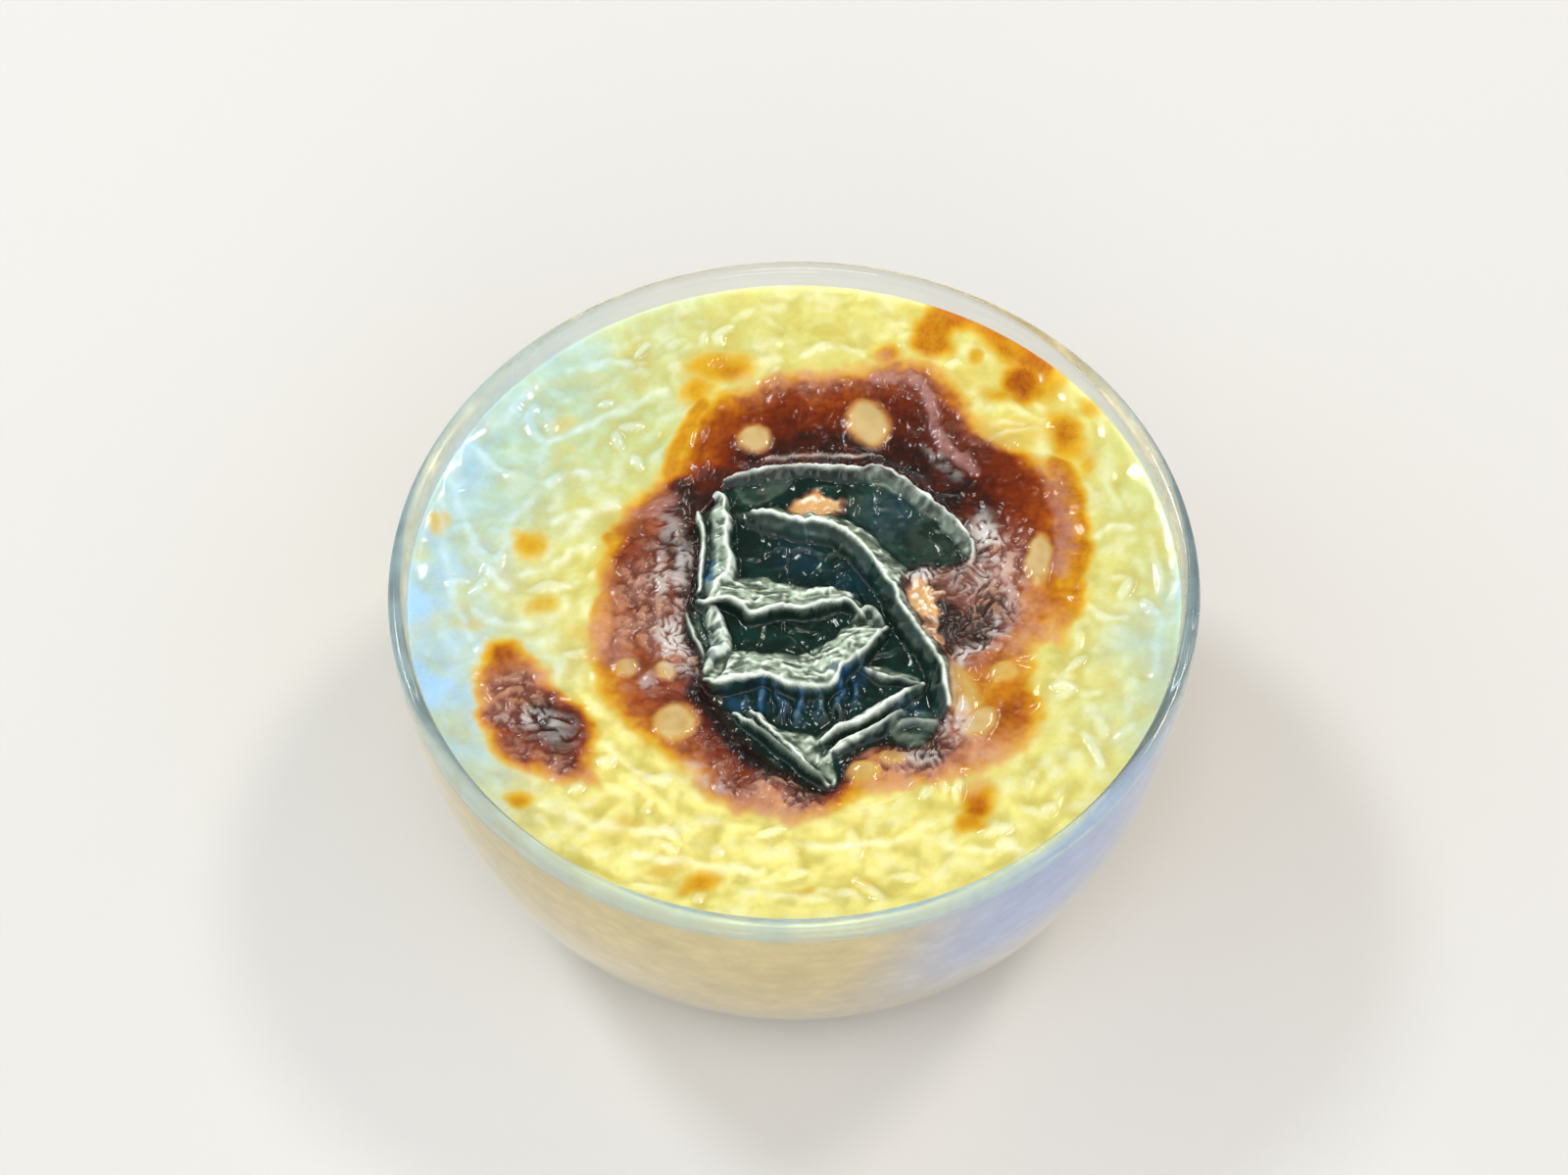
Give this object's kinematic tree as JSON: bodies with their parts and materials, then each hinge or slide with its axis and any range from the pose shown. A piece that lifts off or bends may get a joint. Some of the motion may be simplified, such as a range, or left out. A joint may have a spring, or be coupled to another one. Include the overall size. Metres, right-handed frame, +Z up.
{
  "type": "baked rice pudding",
  "caption": "Baked rice pudding in a round clear glass bowl, its skin browned around a charred, folded patch in the middle.",
  "frame": {"origin": "centre of the underside of the bowl's foot, on the surface it stands on", "axes": "+Z up through the bowl's middle; the pointed tip of the charred patch lies towards -Y, its wide flap of skin towards +X and +Y"},
  "size_m": [0.115, 0.115, 0.048],
  "materials": {
    "glass": "polished",
    "pudding": "satin"
  },
  "bodies": {
    "root": {"bowl": "glass", "pudding": "pudding"}
  },
  "joints": []
}
